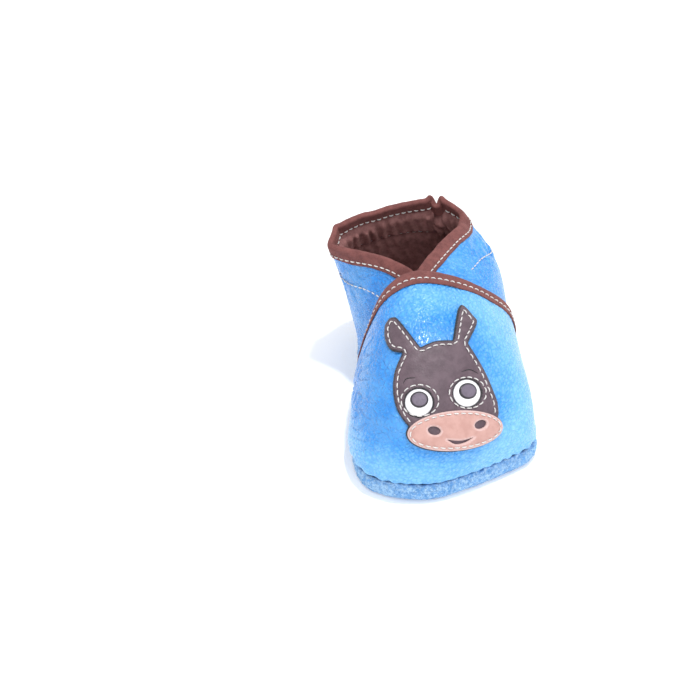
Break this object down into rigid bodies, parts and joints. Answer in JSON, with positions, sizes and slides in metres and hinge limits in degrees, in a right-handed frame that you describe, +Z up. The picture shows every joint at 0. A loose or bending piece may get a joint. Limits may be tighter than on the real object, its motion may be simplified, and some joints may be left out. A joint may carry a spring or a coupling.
{
  "type": "baby bootie",
  "caption": "Soft-soled baby bootie in pebbled leather: suede sole, cloth-bound collar with crossed flaps and a donkey face sewn on the toe.",
  "frame": {"origin": "on the ground under the middle of the bootie's outline", "axes": "+Z up, +Y from the toe to the heel, +X to the outer side of a left foot"},
  "size_m": [0.0692, 0.1196, 0.0637],
  "materials": {
    "binding_cotton": "fine plain-weave cotton tape, matt",
    "blue_leather": "soft pebbled leather with a semi-gloss face",
    "blue_suede": "napped suede, matt and fuzzy",
    "dark_leather": "matt fine-grained leather",
    "elastic": "flat woven elastic",
    "foam": "thin soft foam",
    "lining_cotton": "plain-weave cotton lining, matt",
    "tan_leather": "matt fine-grained leather",
    "thread": "twisted polyester thread",
    "white_leather": "matt smooth leather"
  },
  "bodies": {
    "root": {"outsole": "blue_suede", "cushion_pad": "foam", "insole": "lining_cotton", "vamp": "blue_leather", "heel_quarter": "blue_leather", "vamp_lining": "lining_cotton", "quarter_lining": "lining_cotton", "ankle_elastic": "elastic", "vamp_binding": "binding_cotton", "collar_binding": "binding_cotton", "donkey_head": "dark_leather", "donkey_muzzle": "tan_leather", "eye_white_left": "white_leather", "pupil_left": "dark_leather", "eye_white_right": "white_leather", "pupil_right": "dark_leather", "thread_head": "thread", "thread_eye_left": "thread", "thread_eye_right": "thread", "thread_muzzle": "thread", "thread_vamp_binding": "thread", "thread_collar": "thread", "thread_casing": "thread"}
  },
  "joints": []
}
